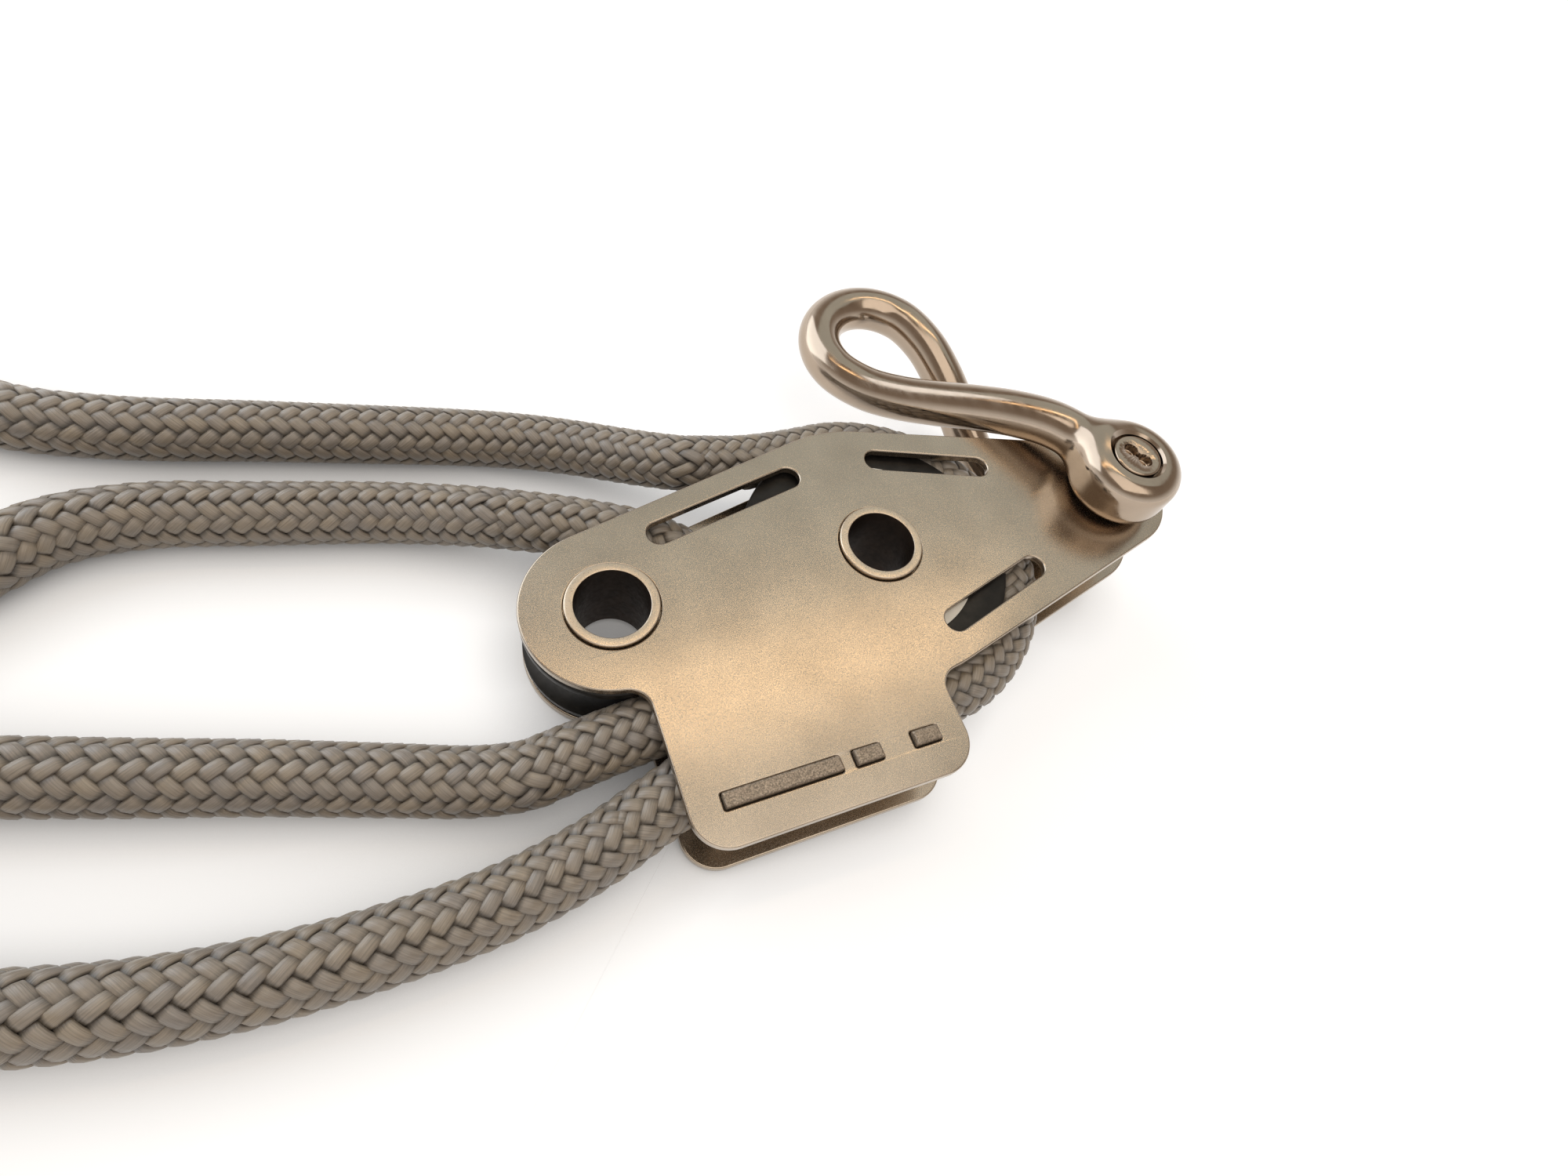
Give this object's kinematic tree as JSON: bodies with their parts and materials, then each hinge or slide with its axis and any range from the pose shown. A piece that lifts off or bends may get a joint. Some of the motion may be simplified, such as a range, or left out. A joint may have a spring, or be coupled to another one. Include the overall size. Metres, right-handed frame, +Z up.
{
  "type": "rope block",
  "caption": "In-line rope block with a large and a small sheave between steel side plates, a rope-guide tab, a twisted shackle and its braided rope.",
  "frame": {"origin": "on the surface it lies on, under the middle of the block without its free rope", "axes": "+X from the small sheave towards the nose and shackle pin, +Y towards the side away from the rope-guide tab, +Z up, close to the sheave axes, which lean 6.7 degrees because the block rests on its shackle eye, one plate and one lug"},
  "size_m": [0.3197, 0.1272, 0.0379],
  "materials": {
    "plate_steel": "fine bead-blasted satin with a faint grain",
    "axle_steel": "turned and lightly polished",
    "sheave_anodised": "black anodised",
    "bush_bronze": "sintered bronze",
    "bearing_steel": "ground",
    "cage_brass": "stamped brass",
    "washer_plastic": "natural acetal",
    "guide_cast": "as cast, rough",
    "shackle_polished": "mirror-polished stainless steel",
    "rope_braid": "grey-taupe braided cover",
    "end_cap": "black shrunk-on sleeve"
  },
  "bodies": {
    "block": {"back_plate": "plate_steel", "front_plate": "plate_steel", "nose_spacer": "plate_steel", "small_axle": "axle_steel", "big_axle": "axle_steel", "bearing_inner_race": "bearing_steel", "small_washer_back": "washer_plastic", "small_washer_front": "washer_plastic", "big_washer_back": "washer_plastic", "big_washer_front": "washer_plastic", "rope_guide": "guide_cast", "rope_small_turn": "rope_braid", "rope_big_turn": "rope_braid", "rope_bight": "rope_braid", "rope_anchor_leg": "rope_braid", "rope_tail": "rope_braid", "rope_coil": "rope_braid", "rope_coil_top": "rope_braid", "rope_anchor_cap": "end_cap", "rope_tail_cap": "end_cap"},
    "small_sheave": {"small_sheave": "sheave_anodised", "small_sheave_bush": "bush_bronze"},
    "big_sheave": {"big_sheave": "sheave_anodised", "bearing_outer_race": "bearing_steel"},
    "bearing_cage": {"bearing_cage": "cage_brass", "bearing_ball_1": "bearing_steel", "bearing_ball_2": "bearing_steel", "bearing_ball_3": "bearing_steel", "bearing_ball_4": "bearing_steel", "bearing_ball_5": "bearing_steel", "bearing_ball_6": "bearing_steel", "bearing_ball_7": "bearing_steel", "bearing_ball_8": "bearing_steel", "bearing_ball_9": "bearing_steel", "bearing_ball_10": "bearing_steel", "bearing_ball_11": "bearing_steel"},
    "shackle": {"shackle_bow": "shackle_polished"},
    "shackle_pin": {"shackle_pin": "shackle_polished"}
  },
  "joints": [
    {"name": "small_sheave_spin", "type": "hinge", "parent": "block", "child": "small_sheave", "pos_m": [-0.04492, -0.01185, 0.00882], "axis": [-0.1094, -0.0401, 0.9932], "continuous": true},
    {"name": "big_sheave_spin", "type": "hinge", "parent": "block", "child": "big_sheave", "pos_m": [-0.00019, -0.01195, 0.01375], "axis": [-0.1094, -0.0401, 0.9932], "continuous": true},
    {"name": "bearing_cage_spin", "type": "hinge", "parent": "block", "child": "bearing_cage", "pos_m": [-0.00019, -0.01195, 0.01375], "axis": [-0.1094, -0.0401, 0.9932], "continuous": true},
    {"name": "shackle_swing", "type": "hinge", "parent": "block", "child": "shackle", "pos_m": [0.04703, -0.01206, 0.01894], "axis": [-0.1094, -0.0401, 0.9932], "range_deg": [-236, 2]},
    {"name": "shackle_pin_slide", "type": "slide", "parent": "shackle", "child": "shackle_pin", "axis": [-0.1094, -0.0401, 0.9932], "range_m": [0, 0.038]}
  ],
  "couplings": [
    {"joint": "bearing_cage_spin", "follows": "big_sheave_spin", "ratio": 0.5795}
  ]
}
